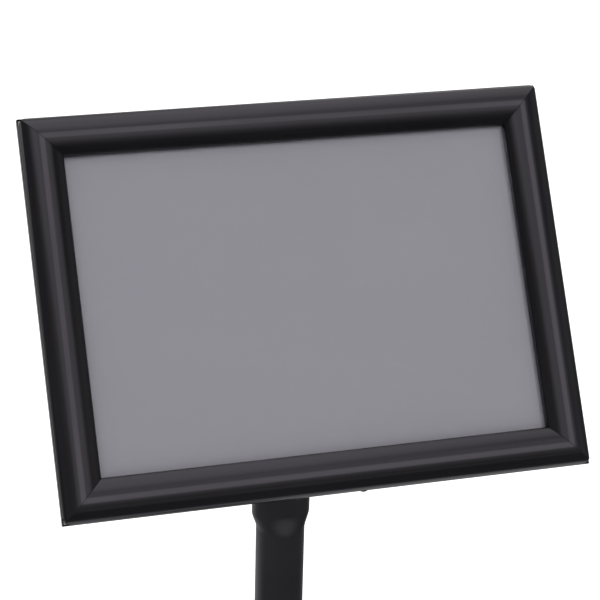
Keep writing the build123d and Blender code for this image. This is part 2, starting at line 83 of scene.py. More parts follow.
# Heights between which a painted highlight runs along the dome's crest
CREST_HIGHLIGHT_LOW = 0.01237
CREST_HIGHLIGHT_HIGH = 0.01249

# Mast head, pressed from round tube
UPPER_RADIUS = 0.016
TUBE_WALL = 0.0015
FLARE_LENGTH = 0.011
FLARE_SKIRT = 0.0018
FLARE_STEPS = 26
FLARE_RISE = 0.480
HEAD_WIDTH = 0.0385
HEAD_THICKNESS = 0.0206
PLUG_TAPER = 0.001
CROWN_STEPS = 8

# Base plate, feet and trim ring
STUD_RADIUS = 0.004
BASE_EDGE = 0.0015
PLATE_BORE = 0.005
COUNTERSINK = 0.005
FOOT_RADIUS = 0.012
FOOT_BORE = 0.0045
FOOT_BEVEL = 0.0012
FOOT_BORE_BEVEL = 0.001
TRIM_SKIRT = 0.0015
TRIM_SHOULDER = 0.0025
TRIM_TOP = 0.0018
TRIM_STEPS = 12

# Height clamp
COLLAR_EDGE = 0.0015
COLLAR_NECK_GAP = 0.0004
BUSH_FLANGE = 0.002
GROOVE_LOW = 0.006
GROOVE_HIGH = 0.008
GROOVE_DEPTH = 0.0007
SHOULDER_WIDTH = 0.003
SHOULDER_HEIGHT = 0.004
BOSS_RADIUS = 0.011
BOSS_FILLET = 0.003
BOSS_ROOT = 0.004
BOSS_START = 0.0026
BOSS_RISE = 0.004
BOSS_RIM = 0.004
BOSS_EDGE = 0.0012
BOSS_STEPS = 6
RECESS_RADIUS = 0.0062
RECESS_DEPTH = 0.001

# Knobs
KNOB_LOBES = 5
KNOB_RADIUS = 0.020
KNOB_VALLEY = 0.0168
KNOB_HEIGHT = 0.015
LOBE_FULLNESS = 0.75
HUB_RADIUS = 0.010
HUB_HEIGHT = 0.008
HUB_DRAFT = 0.0012
BELLY_RISE = 0.004
BELLY_RADIUS = 0.003
RIM_DROP = 0.002
RIM_RADIUS = 0.0022
RIM_WIDTH = 0.006
DISH_RADIUS = 0.0098
DISH_DEPTH = 0.0012
SOCKET_CEILING = 0.006
NEAR_AXIS = 0.0004
NECK_RISE = 0.001
UNDERSIDE_EDGE = 0.0012

# Tilt bracket and lock nut
SHEET = 0.0025
SHEET_EDGE = 0.0003
BEND_RADIUS = 0.0008
CHEEK_RADIUS = 0.013
CHEEK_STEPS = 32
RELIEF = 0.0008
LOWER_CORNER = 0.004
UPPER_CORNER = 0.0028
NUT_RADIUS = 0.0074
NUT_EDGE = 0.0009

# Clear cover: it bows up over part of its width, near the lower edge
FILM_THICKNESS = 0.0003
FILM_LIFT = 0.00035
FILM_LIFT_WIDTH = 0.62
FILM_LIFT_HEIGHT = 0.12
FILM_COLUMNS = 60
FILM_ROWS = 44

# Floor and studio. A panel's numbers are azimuth, half width and softness, elevation, half
# height and softness, all in degrees, and strength. Azimuth 0 is the reader's side.
FLOOR_HALF = 30.0
FLOOR_GLOW = 0.45
SOFTBOX = (15, 34, 6, 41, 20, 7, 0.95)
OTHER_PANELS = (
    (15, 80, 20, 15, 9, 7, 0.28),
    (-36, 18, 5, 60, 19.5, 5, 1.8),
    (135, 26, 8, 38, 26, 8, 0.9),
    (-135, 26, 8, 38, 26, 8, 0.9),
)
# Each wide light's numbers are where it starts and is full along an axis, and strength
OVERHEAD = (0.84, 0.95, 1.45)
UNDERSIDE = (0.55, 0.95, 0.7)
BACK_WALL = (0.0, 0.9, 0.5)
BACK_WALL_LEAN = 0.24
DARKEST = 0.03
FILL = 1.05
LIGHT_COLOUR = (1.0, 0.995, 1.0, 1)

# Photograph's viewpoint
CAMERA_PLACE = Vector((-0.3371, -1.1419, 1.48895))
CAMERA_AZIMUTH = radians(-16.889)
CAMERA_DROP = radians(23.225)
CAMERA_ROLL = radians(1.488)
CAMERA_LENS = 123.88
SENSOR_WIDTH = 36.0

# ---------------------------------------------------------------- places
JOINTS = {joint["name"]: joint for joint in frame["joints"]}
X_AXIS = Vector((1, 0, 0))
Y_AXIS = Vector((0, 1, 0))
Z_AXIS = Vector((0, 0, 1))
NORMAL = Vector(JOINTS["frame_turn"]["axis"])
UPWARD = NORMAL.cross(X_AXIS)
CENTRE = Vector(JOINTS["frame_turn"]["pos_m"])
PIVOT = Vector(JOINTS["tilt"]["pos_m"])
CLAMP = Vector(JOINTS["clamp_knob_turn"]["pos_m"])


def placement(origin, x_dir, z_dir):
    """Matrix that takes local points to the model's frame."""
    columns = Matrix((x_dir, z_dir.cross(x_dir), z_dir)).transposed()
    return Matrix.Translation(origin) @ columns.to_4x4()


UPRIGHT = Matrix.Identity(4)
SIGN = placement(CENTRE, X_AXIS, NORMAL)
SIGN_TURN = SIGN.to_euler()


def sign_box(node):
    """Lowest and highest corner of a CAD node along the sign's own axes."""
    points = [SIGN.inverted() @ v.co for v in frame["nodes"][node].data.vertices]
    low = Vector([min(p[i] for p in points) for i in range(3)])
    high = Vector([max(p[i] for p in points) for i in range(3)])
    return low, high


def span(node, axis):
    """Lowest and highest coordinate of a CAD node along one axis of the model."""
    low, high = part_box(node)
    return low[axis], high[axis]


# ---------------------------------------------------------------- mesh building
def loft(rings, hollow=False):
    """Shell through closed rings of points, capped at both ends or closed on itself."""
    count = len(rings[0])
    vertices = [point for ring in rings for point in ring]
    faces = []
    last = len(rings) if hollow else len(rings) - 1
    for r in range(last):
        lower = r * count
        upper = (r + 1) % len(rings) * count
        for i in range(count):
            j = (i + 1) % count
            faces.append((lower + i, lower + j, upper + j, upper + i))
    if not hollow:
        faces.append(tuple(range(count)))
        faces.append(tuple(range(len(vertices) - count, len(vertices))))
    return vertices, faces


def strip_loft(rings):
    """Loft of thin strips whose rings run out along one face and back along the other."""
    vertices, faces = loft(rings)
    faces = faces[:-2]
    count = len(rings[0])
    for start in (0, len(vertices) - count):
        for i in range(count // 2 - 1):
            far = count - 1 - i
            faces.append((start + i, start + i + 1, start + far - 1, start + far))
    return vertices, faces


def rounded(corners, steps=5):
    """Outline through corners (x, y, radius) with each corner rounded."""
    points = []
    for i, (x, y, radius) in enumerate(corners):
        corner = Vector((x, y))
        if radius == 0:
            points.append(corner)
            continue
        before = (Vector(corners[i - 1][:2]) - corner).normalized()
        after = (Vector(corners[(i + 1) % len(corners)][:2]) - corner).normalized()
        half = before.angle(after) / 2
        centre = corner + (before + after).normalized() * radius / sin(half)
        start = corner + before * radius / tan(half) - centre
        end = corner + after * radius / tan(half) - centre
        turn = pi - 2 * half
        for k in range(steps + 1):
            share = turn * k / steps
            points.append(centre + (start * sin(turn - share) + end * sin(share)) / sin(turn))
    return points


def turned(place, profile, hollow=False, outline=None, steps=72):
    """Shell turned about the local z axis from (radius, height) points."""
    rings = []
    for radius, height in profile:
        ring = []
        for step in range(steps):
            angle = 2 * pi * step / steps
            reach = outline(angle, radius, height) if outline else radius
            ring.append(place @ Vector((reach * cos(angle), reach * sin(angle), height)))
        rings.append(ring)
    return loft(rings, hollow)


def prism(place, outline, low, high, edge):
    """Plate with a straight outline and chamfered edges, between two heights."""
    rings = []
    for height, shrink in ((low, edge), (low + edge, 0), (high - edge, 0), (high, edge)):
        ring = []
        for i, point in enumerate(outline):
            before = point - outline[i - 1]
            after = outline[(i + 1) % len(outline)] - point
            left = Vector((-before.y, before.x)).normalized()
            right = Vector((-after.y, after.x)).normalized()
            moved = point + (left + right).normalized() * shrink
            ring.append(place @ Vector((moved.x, moved.y, height)))
        rings.append(ring)
    return loft(rings)


def add_piece(name, shells, body, slot, nodes, look=None):
    """One mesh object made of shells, riding on a body in place of CAD nodes."""
    vertices = []
    faces = []
    for shell_vertices, shell_faces in shells:
        start = len(vertices)
        vertices += shell_vertices
        faces += [[start + i for i in face] for face in shell_faces]
    mesh = bpy.data.meshes.new(name)
    mesh.from_pydata(vertices, [], faces)
    editing = bmesh.new()
    editing.from_mesh(mesh)
    bmesh.ops.recalc_face_normals(editing, faces=editing.faces)
    editing.to_mesh(mesh)
    editing.free()
    mesh.shade_smooth()
    mesh.set_sharp_from_angle(angle=SMOOTH_ANGLE)
    mesh.materials.append(look or LOOKS[slot])
    piece = bpy.data.objects.new(name, mesh)
    bpy.context.scene.collection.objects.link(piece)
    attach(piece, body)
    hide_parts(*nodes)


# ---------------------------------------------------------------- materials
class Look:
    """A Principled material whose colour, roughness and bump vary over the surface."""

    def __init__(self, name, colour, roughness, **sockets):
        self.material = bpy.data.materials.new(name)
        self.material.use_nodes = True
        self.tree = self.material.node_tree
        self.shader = self.tree.nodes["Principled BSDF"]
        self.colour = colour
        self.shader.inputs["Roughness"].default_value = roughness
        for socket, value in sockets.items():
            self.shader.inputs[socket.replace("_", " ")].default_value = value
        self.place = self.add("ShaderNodeTexCoord").outputs["Object"]
        self.bump_normal = None

    def add(self, kind, **settings):
        """New node with sockets or properties set by name."""
        node = self.tree.nodes.new(kind)
        for key, value in settings.items():
            if key in node.inputs:
                node.inputs[key].default_value = value
            else:
                setattr(node, key, value)
        return node

    def link(self, output, target):
        self.tree.links.new(output, target)

    def noise(self, size, detail=3.0, stretch=(1, 1, 1), turn=(0, 0, 0)):
        """Noise whose features are about size metres, stretched along the turned axes."""
        mapping = self.add("ShaderNodeMapping", vector_type="TEXTURE")
        mapping.inputs["Rotation"].default_value = turn
        mapping.inputs["Scale"].default_value = stretch
        self.link(self.place, mapping.inputs["Vector"])
        node = self.add("ShaderNodeTexNoise", Scale=1 / size, Detail=detail, Roughness=0.55)
        self.link(mapping.outputs["Vector"], node.inputs["Vector"])
        return node.outputs["Fac"]

    def cells(self, size):
        """Distance to scattered points, for grain of about size metres."""
        node = self.add("ShaderNodeTexVoronoi", Scale=1 / size, Randomness=1.0)
        self.link(self.place, node.inputs["Vector"])
        return node.outputs["Distance"]

    def sign_height(self):
        """Height of a point out of the sign's back plane."""
        mapping = self.add("ShaderNodeMapping", vector_type="TEXTURE")
        mapping.inputs["Location"].default_value = CENTRE
        mapping.inputs["Rotation"].default_value = SIGN_TURN
        self.link(self.place, mapping.inputs["Vector"])
        split = self.add("ShaderNodeSeparateXYZ")
        self.link(mapping.outputs["Vector"], split.inputs[0])
        return split.outputs["Z"]

    def stretch(self, value, low, high, new_low=0.0, new_high=1.0):
        """Smooth step from new_low to new_high as a value runs from low to high."""
        node = self.add("ShaderNodeMapRange", interpolation_type="SMOOTHSTEP")
        ends = {"From Min": low, "From Max": high, "To Min": new_low, "To Max": new_high}
        for socket, number in ends.items():
            node.inputs[socket].default_value = number
        self.link(value, node.inputs["Value"])
        return node.outputs["Result"]

    def edges(self, low=0.52, high=0.62):
        """1 along convex edges and 0 on flat ground."""
        return self.stretch(self.add("ShaderNodeNewGeometry").outputs["Pointiness"], low, high)

    def times(self, first, second):
        """Product of a value and a number or another value."""
        node = self.add("ShaderNodeMath", operation="MULTIPLY")
        self.link(first, node.inputs[0])
        if isinstance(second, (int, float)):
            node.inputs[1].default_value = second
        else:
            self.link(second, node.inputs[1])
        return node.outputs[0]

    def tint(self, factor, colour):
        """Blends another colour in by a factor; blends pile up in order."""
        node = self.add("ShaderNodeMix", data_type="RGBA")
        first, second = node.inputs[6], node.inputs[7]
        if isinstance(self.colour, tuple):
            first.default_value = (*self.colour, 1)
        else:
            self.link(self.colour, first)
        second.default_value = (*colour, 1)
        self.link(factor, node.inputs[0])
        self.colour = node.outputs[2]

    def rough(self, value, low, high):
        """Roughness that runs from low to high with a value."""
        self.link(self.stretch(value, 0.25, 0.75, low, high), self.shader.inputs["Roughness"])

    def bump(self, height, strength, distance):
        """Relief from a height, added to the relief so far."""
        node = self.add("ShaderNodeBump", Strength=strength, Distance=distance)
        self.link(height, node.inputs["Height"])
        if self.bump_normal:
            self.link(self.bump_normal, node.inputs["Normal"])
        self.bump_normal = node.outputs["Normal"]

    def finish(self):
        """Joins colour and relief to the shader and gives the material."""
        self.link(self.colour, self.shader.inputs["Base Color"])
        if self.bump_normal:
            self.link(self.bump_normal, self.shader.inputs["Normal"])
        return self.material


def powder_coat():
    """Satin black powder coat: orange peel, fine grain, rubbed edges and a little dust."""
    look = Look(
        "powder_coat",
        (0.0145, 0.0141, 0.0156),
        0.28,
        Specular_IOR_Level=0.5,
        Specular_Tint=(0.96, 0.92, 1, 1),
    )
    grain = look.noise(0.0009, 4)
    peel = look.noise(0.0032, 2)
    clouds = look.noise(0.045, 3)
    look.tint(look.stretch(clouds, 0.35, 0.7, 0, 0.5), (0.0180, 0.0178, 0.0188))
    look.tint(look.times(look.stretch(grain, 0.62, 0.8), 0.35), (0.03, 0.03, 0.031))
    look.tint(look.times(look.edges(), 0.3), (0.05, 0.05, 0.052))
    look.rough(clouds, 0.29, 0.39)
    look.bump(peel, 0.16, 0.00012)
    look.bump(grain, 0.12, 0.00005)
    return look.finish()


def anodised(name, along):
    """Satin black profile with faint lines drawn along one of the sign's axes and a painted highlight along its
    crest.
    """
    look = Look(
        name,
        (0.0052, 0.0050, 0.0060),
        0.22,
        Specular_IOR_Level=0.5,
        Specular_Tint=(0.94, 0.89, 1, 1),
    )

    def drawn(size, detail, factor):
        """Noise drawn out along the profile."""
        stretch = tuple(factor if i == along else 1 for i in range(3))
        return look.noise(size, detail, stretch, SIGN_TURN)

    lines = drawn(0.00045, 3, 400)
    bands = drawn(0.0035, 2, 60)
    grain = look.noise(0.0006, 3)
    clouds = look.noise(0.06, 3)
    look.tint(look.stretch(clouds, 0.35, 0.7, 0, 0.45), (0.0078, 0.0075, 0.0088))
    look.tint(look.stretch(lines, 0.55, 0.8, 0, 0.4), (0.0105, 0.0100, 0.0112))
    # Painted highlight: a lighter streak along the dome's crest, uneven along its length
    crest_highlight = look.stretch(look.sign_height(), CREST_HIGHLIGHT_LOW, CREST_HIGHLIGHT_HIGH)
    highlight_patches = look.stretch(drawn(0.02, 4, 6), 0.2, 0.6, 0.55, 1)
    look.tint(look.times(crest_highlight, highlight_patches), (0.036, 0.034, 0.0385))
    look.tint(look.times(look.edges(0.53, 0.66), 0.15), (0.05, 0.049, 0.052))
    look.rough(bands, 0.19, 0.25)
    look.bump(lines, 0.10, 0.00003)
    look.bump(grain, 0.10, 0.00003)
    return look.finish()


def moulded():
    """Black moulded plastic with a fine spark-eroded grain."""
    look = Look("moulded", (0.0125, 0.0125, 0.013), 0.48, Specular_IOR_Level=0.4)
    grain = look.noise(0.00055, 4)
    clouds = look.noise(0.02, 2)
    look.tint(look.stretch(grain, 0.5, 0.75, 0, 0.5), (0.022, 0.022, 0.0225))
    look.tint(look.times(look.edges(), 0.35), (0.05, 0.05, 0.05))
    look.rough(clouds, 0.42, 0.54)
    look.bump(grain, 0.35, 0.00008)
    return look.finish()


def nylon():
    """Dark grey nylon, slightly waxy and mottled."""
    look = Look("nylon_look", (0.085, 0.085, 0.088), 0.5, Subsurface_Weight=0.05)
    mottle = look.noise(0.004, 4)
    grain = look.noise(0.0004, 2)
    look.tint(look.stretch(mottle, 0.35, 0.7), (0.12, 0.118, 0.115))
    look.rough(mottle, 0.42, 0.58)
    look.bump(grain, 0.2, 0.00005)
    return look.finish()


def zinc():
    """Bright zinc plating with a faint straw tint and rolled lines."""
    look = Look("zinc", (0.56, 0.56, 0.57), 0.3, Metallic=1.0)
    clouds = look.noise(0.006, 4)
    lines = look.noise(0.0005, 2, (1, 1, 14))
    look.tint(look.stretch(clouds, 0.4, 0.7, 0, 0.7), (0.60, 0.57, 0.47))
    look.tint(look.stretch(look.noise(0.0015, 5), 0.6, 0.78, 0, 0.6), (0.36, 0.36, 0.37))
    look.rough(clouds, 0.24, 0.42)
    look.bump(lines, 0.15, 0.00005)
    return look.finish()


def brass():
    """Turned brass, dulled in patches."""
    look = Look("brass_look", (0.66, 0.47, 0.19), 0.28, Metallic=1.0)
    clouds = look.noise(0.004, 4)
    look.tint(look.stretch(clouds, 0.4, 0.75), (0.42, 0.29, 0.13))
    look.rough(clouds, 0.22, 0.42)
    look.bump(look.noise(0.0003, 2, (6, 1, 1)), 0.2, 0.00004)
    return look.finish()


def blued_steel():
    """Blued spring steel with straw edges."""
    look = Look("blued_steel", (0.10, 0.12, 0.17), 0.3, Metallic=1.0)
    clouds = look.noise(0.008, 4)
    look.tint(look.stretch(clouds, 0.4, 0.7), (0.20, 0.20, 0.22))
    look.tint(look.times(look.edges(), 0.6), (0.34, 0.27, 0.18))
    look.rough(clouds, 0.25, 0.4)
    look.bump(look.noise(0.0004, 2), 0.1, 0.00003)
    return look.finish()


def rubber():
    """Matt black rubber with a dusty bloom."""
    look = Look("rubber", (0.018, 0.018, 0.019), 0.75, Specular_IOR_Level=0.35)
    bloom = look.noise(0.007, 5)
    look.tint(look.stretch(bloom, 0.45, 0.75, 0, 0.6), (0.045, 0.044, 0.042))
    look.rough(bloom, 0.68, 0.86)
    look.bump(look.noise(0.0005, 3), 0.4, 0.0001)
    return look.finish()


def backboard():
    """Grey extruded styrene board with a faint haircell grain."""
    look = Look("backboard", (0.20, 0.195, 0.21), 0.55, Specular_IOR_Level=0.35)
    grain = look.cells(0.0011)
    clouds = look.noise(0.07, 3)
    look.tint(look.stretch(clouds, 0.35, 0.7), (0.235, 0.228, 0.245))
    look.tint(look.stretch(look.noise(0.0012, 4), 0.66, 0.8, 0, 0.5), (0.12, 0.118, 0.125))
    look.rough(clouds, 0.48, 0.62)
    look.bump(grain, 0.25, 0.00008)
    return look.finish()


def card():
    """Plain grey-lilac card with a paper fibre; its coat adds to the clear cover's gloss."""
    look = Look(
        "card",
        (0.167, 0.164, 0.193),
        0.6,
        Coat_Weight=1.0,
        Coat_Roughness=0.05,
        Coat_IOR=1.7,
    )
    fibre = look.noise(0.0007, 5)
    clouds = look.noise(0.11, 3)
    look.tint(look.stretch(clouds, 0.3, 0.72, 0, 0.6), (0.175, 0.172, 0.202))
    look.tint(look.stretch(fibre, 0.5, 0.75, 0, 0.3), (0.157, 0.154, 0.182))
    look.rough(clouds, 0.55, 0.66)
    look.bump(fibre, 0.04, 0.00003)
    return look.finish()


def film():
    """Clear anti-glare film: a thin gloss over whatever lies behind it."""
    look = Look("film", (0.55, 0.53, 0.60), 0.22, Alpha=0.06, Specular_IOR_Level=1.0)
    haze = look.noise(0.05, 3)
    look.tint(look.stretch(haze, 0.35, 0.7), (0.60, 0.58, 0.64))
    look.rough(haze, 0.18, 0.27)
    look.bump(look.noise(0.02, 2), 0.04, 0.0003)
    return look.finish()


LOOKS = {
    "powder_coated_steel": powder_coat(),
    "moulded_plastic": moulded(),
    "nylon": nylon(),
    "zinc_steel": zinc(),
    "brass": brass(),
    "spring_steel": blued_steel(),
    "foot_rubber": rubber(),
    "grey_backboard": backboard(),
    "blank_insert": card(),
    "clear_film": film(),
}
PROFILE_LOOKS = {
    "top": anodised("anodised_across", 0),
    "bottom": anodised("anodised_across_low", 0),
    "left": anodised("anodised_up", 1),
    "right": anodised("anodised_up_right", 1),
}


# ---------------------------------------------------------------- snap rails
def arc_line(centre, radius, start, end, steps):
    """Points and outward normals along an arc of the section."""
    line = []
    for k in range(steps + 1):
        angle = start + (end - start) * k / steps
        out = Vector((cos(angle), sin(angle)))
        line.append((centre + out * radius, out))
    return line


def section_line():
    """Centre line of the visible shell: up the lip, over the dome and down to the claw."""
    lip_centre_x = LIP_X - LIP_RADIUS
    inner_radius = DOME_RADIUS - LIP_RADIUS
    lip_angle = acos((lip_centre_x - DOME_CENTRE.x) / inner_radius)
    lip_centre = DOME_CENTRE + Vector((cos(lip_angle), sin(lip_angle))) * inner_radius
    line = []
    for k in range(LIP_STEPS):
        height = LIP_BOTTOM + (lip_centre.y - LIP_BOTTOM) * k / LIP_STEPS
        line.append((Vector((LIP_X, height)), Vector((1, 0))))
    line += arc_line(lip_centre, LIP_RADIUS, 0, lip_angle, 8)
    line += arc_line(DOME_CENTRE, DOME_RADIUS, lip_angle, DOME_END, 40)[1:]
    start, out = line[-1]
    leave = CLAW_CENTRE + Vector((cos(CLAW_LEAVE), sin(CLAW_LEAVE))) * CLAW_RADIUS
    reach = leave - start
    radius = reach.length_squared / (2 * reach.dot(-out))
    centre = start - out * radius
    turn = out.angle((leave - centre).normalized())
    return line + arc_line(centre, radius, DOME_END, DOME_END + turn, 10)[1:]


def strip(line, edge_in=0.0):
    """Closed section of a strip about its centre line, thinned by edge_in on both faces."""
    half = RAIL_WALL / 2 - edge_in
    outer = [point + out * half for point, out in line]
    inner = [point - out * half for point, out in line]
    return outer + inner[::-1]


def swept_strip(place, line, half_length, gap):
    """Strip swept along one side, mitred and clipped at both ends with a fine chamfer."""
    rings = []
    full = strip(line)
    thin = strip(line, CUT_EDGE)

    def end_of(x):
        """Half the strip's length at a place across the section."""
        return min(half_length - gap - x, half_length - CORNER_CUT + x)

    for end in (-1, 1):
        tip = [place @ Vector((p.x, p.y, end * end_of(p.x))) for p in thin]
        shoulder = [place @ Vector((p.x, p.y, end * (end_of(p.x) - CUT_EDGE))) for p in full]
        rings += [tip, shoulder] if end < 0 else [shoulder, tip]
    return strip_loft(rings)


half_width = -sign_box("left_base_profile")[0].x
half_height = sign_box("top_base_profile")[1].y
sides = {
    "top": (0, 1, half_height, half_width),
    "bottom": (0, -1, half_height, half_width),
    "left": (-1, 0, half_width, half_height),
    "right": (1, 0, half_width, half_height),
}
shell_line = section_line()
claw_line = arc_line(CLAW_CENTRE, CLAW_RADIUS, CLAW_START, CLAW_END, 20)
for name, (out_x, out_y, half_across, half_length) in sides.items():
    inward = X_AXIS * -out_x + UPWARD * -out_y
    origin = CENTRE - inward * half_across
    columns = Matrix((inward, NORMAL, inward.cross(NORMAL))).transposed()
    side_place = Matrix.Translation(origin) @ columns.to_4x4()
    shells = [
        swept_strip(side_place, shell_line, half_length, MITRE_GAP),
        swept_strip(side_place, claw_line, half_length, CLAW_GAP),
    ]
    rail = name + "_rail"
    add_piece(name + "_snap_rail", shells, rail, "anodised_profile", [rail], PROFILE_LOOKS[name])


# ---------------------------------------------------------------- mast
def pressed(width, thickness, round_radius, blend, angle):
    """Point of a tube outline pressed from a circle to a flat-sided slot."""
    straight = width - thickness
    perimeter = 2 * straight + pi * thickness
    along = (angle % (2 * pi)) / (2 * pi) * perimeter
    quarter = pi * thickness / 4
    corner = thickness / 2
    if along < quarter or along >= perimeter - quarter:
        turn = (along if along < quarter else along - perimeter) / corner
        slot_point = Vector((straight / 2 + corner * cos(turn), corner * sin(turn)))
    elif along < quarter + straight:
        slot_point = Vector((straight / 2 - (along - quarter), corner))
    elif along < 3 * quarter + straight:
        turn = pi / 2 + (along - quarter - straight) / corner
        slot_point = Vector((-straight / 2 + corner * cos(turn), corner * sin(turn)))
    else:
        slot_point = Vector((-straight / 2 + (along - 3 * quarter - straight), -corner))
    circle_point = Vector((cos(angle), sin(angle))) * round_radius
    return circle_point.lerp(slot_point, blend)


def head_ring(height, inset, blend_at, steps=96):
    """One ring of the pressed tube, inset from its outer surface."""
    width = HEAD_WIDTH - 2 * inset
    thickness = HEAD_THICKNESS - 2 * inset
    ring = []
    for step in range(steps):
        angle = 2 * pi * step / steps
        point = pressed(width, thickness, UPPER_RADIUS - inset, blend_at(height, angle), angle)
        ring.append(Vector((point.x, point.y, height)))
    return ring


tube_bottom, tube_top = span("upper_tube", 2)
flare_top = tube_bottom + FLARE_RISE
flare_bottom = flare_top - FLARE_LENGTH


def flare_blend(height, angle):
    """0 on the round tube, 1 on the pressed head; the press reaches lower on the flat sides."""
    start = flare_bottom - FLARE_SKIRT * sin(angle) ** 2
    share = min(max((height - start) / (flare_top - start), 0.0), 1.0)
    eased = share * share * (3 - 2 * share)
    return (share + eased) / 2


skirt_bottom = flare_bottom - FLARE_SKIRT
heights = [tube_bottom, tube_bottom + EDGE_FULL, skirt_bottom]
for k in range(1, FLARE_STEPS + 1):
    heights.append(skirt_bottom + (FLARE_LENGTH + FLARE_SKIRT) * k / FLARE_STEPS)
heights += [tube_top - EDGE_SOFT, tube_top]
insets = [EDGE_SOFT] + [0.0] * (len(heights) - 2) + [EDGE_SOFT]
outer_rings = [head_ring(z, inset, flare_blend) for z, inset in zip(heights, insets)]
inner_rings = [head_ring(z, TUBE_WALL, flare_blend) for z in heights[::-1]]
tube_shell = loft(outer_rings + inner_rings, hollow=True)
add_piece("pressed_tube", [tube_shell], "mast", "powder_coated_steel", ["upper_tube"])


def always_pressed(height, angle):
    """The head's full slot shape at any height."""
    return 1.0


plug_bottom, plug_top = span("head_plug", 2)
plug_inset = TUBE_WALL + CLEARANCE
crown_foot = tube_top + EDGE_FINE
crown = plug_top - crown_foot
plug_levels = [
    (plug_bottom, plug_inset + PLUG_TAPER),
    (plug_bottom + PLUG_TAPER, plug_inset),
    (tube_top, plug_inset),
    (tube_top, EDGE_FINE),
    (crown_foot, 0.0),
]
for k in range(1, CROWN_STEPS + 1):
    turn = pi / 2 * k / CROWN_STEPS
    plug_levels.append((crown_foot + crown * sin(turn), crown * (1 - cos(turn))))
plug_rings = [head_ring(height, inset, always_pressed) for height, inset in plug_levels]
add_piece("mast_cap", [loft(plug_rings)], "mast", "moulded_plastic", ["head_plug"])

# ---------------------------------------------------------------- base and lower mast
lower_low, lower_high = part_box("lower_tube")
lower_radius = lower_high.x
lower_bore = lower_radius - TUBE_WALL
lower_profile = rounded(
    [
        (lower_bore, lower_low.z, 0),
        (lower_radius, lower_low.z, 0),
        (lower_radius, lower_high.z, EDGE_SOFT),
        (lower_bore, lower_high.z, EDGE_SOFT),
    ]
)
lower_shell = turned(UPRIGHT, lower_profile, hollow=True)
add_piece("outer_tube", [lower_shell], "base", "powder_coated_steel", ["lower_tube"])

plate_low, plate_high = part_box("base_plate")
_, screw_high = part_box("foot_screw")
screw_head = screw_high.x
plate_profile = rounded(
    [
        (PLATE_BORE, plate_low.z + COUNTERSINK, 0),
        (screw_head, plate_low.z, 0),
        (plate_high.x - EDGE_FULL, plate_low.z, 0),
        (plate_high.x, plate_low.z + EDGE_FULL, 0),
        (plate_high.x, plate_high.z, BASE_EDGE),
        (PLATE_BORE, plate_high.z, 0),
    ]
)
plate_shell = turned(UPRIGHT, plate_profile, hollow=True, steps=160)
add_piece("round_base", [plate_shell], "base", "powder_coated_steel", ["base_plate"])

_, feet_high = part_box("rubber_feet")
foot_offset = feet_high.x - FOOT_RADIUS
foot_profile = rounded(
    [
        (FOOT_BORE, FOOT_BEVEL, 0),
        (FOOT_BORE + FOOT_BORE_BEVEL, 0.0, EDGE_FINE),
        (FOOT_RADIUS - FOOT_BEVEL, 0.0, EDGE_ROUND),
        (FOOT_RADIUS, feet_high.z, 0),
        (FOOT_BORE, feet_high.z, 0),
    ]
)
feet = []
for sign_x in (-1, 1):
    for sign_y in (-1, 1):
        foot_place = Matrix.Translation(Vector((sign_x * foot_offset, sign_y * foot_offset, 0)))
        feet.append(turned(foot_place, foot_profile, hollow=True, steps=48))
add_piece("feet", feet, "base", "foot_rubber", ["rubber_feet"])

trim_low, trim_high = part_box("foot_trim")
trim_bore = lower_radius + CLEARANCE
trim_reach = trim_high.x - trim_bore - TRIM_SHOULDER
trim_rise = trim_high.z - trim_low.z - TRIM_SHOULDER
trim_line = [
    Vector((trim_bore, trim_low.z)),
    Vector((trim_high.x, trim_low.z)),
    Vector((trim_high.x, trim_low.z + TRIM_SKIRT)),
]
for k in range(TRIM_STEPS + 1):
    turn = pi / 2 * k / TRIM_STEPS
    reach = trim_high.x - trim_reach * sin(turn)
    trim_line.append(Vector((reach, trim_high.z - EDGE_FULL - trim_rise * cos(turn))))
trim_line += [
    Vector((trim_bore + TRIM_TOP + EDGE_SOFT, trim_high.z - EDGE_TRACE)),
    Vector((trim_bore + TRIM_TOP, trim_high.z)),
    Vector((trim_bore, trim_high.z)),
]
trim_shell = turned(UPRIGHT, trim_line, hollow=True)
add_piece("foot_cover", [trim_shell], "base", "moulded_plastic", ["foot_trim"])

# ---------------------------------------------------------------- height clamp
collar_low, collar_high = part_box("clamp_collar")
collar_radius = -collar_low.x
collar_bore = lower_radius + CLEARANCE
collar_neck = UPPER_RADIUS + COLLAR_NECK_GAP
collar_step = lower_high.z + BUSH_FLANGE + CLEARANCE
groove_floor = collar_radius - GROOVE_DEPTH
collar_profile = rounded(
    [
        (collar_bore, collar_low.z, EDGE_FINE),
        (collar_radius, collar_low.z, COLLAR_EDGE),
        (collar_radius, collar_low.z + GROOVE_LOW, EDGE_FINE),
        (groove_floor, collar_low.z + GROOVE_LOW + EDGE_FULL, EDGE_TRACE),
        (groove_floor, collar_low.z + GROOVE_HIGH - EDGE_FULL, EDGE_TRACE),
        (collar_radius, collar_low.z + GROOVE_HIGH, EDGE_FINE),
        (collar_radius, collar_high.z - SHOULDER_HEIGHT, COLLAR_EDGE),
        (collar_radius - SHOULDER_WIDTH, collar_high.z, EDGE_ROUND),
        (collar_neck, collar_high.z, EDGE_FINE),
        (collar_neck, collar_step, 0),
        (collar_bore, collar_step, 0),
    ]
)
boss_end = collar_high.x
stud_bore = STUD_RADIUS + 2 * CLEARANCE
boss_profile = [Vector((stud_bore, collar_radius - BOSS_ROOT))]
for k in range(BOSS_STEPS + 1):
    turn = pi / 2 * k / BOSS_STEPS
    reach = BOSS_RADIUS + BOSS_FILLET * (1 - sin(turn))
    boss_profile.append(Vector((reach, collar_radius - BOSS_START + BOSS_RISE * (1 - cos(turn)))))
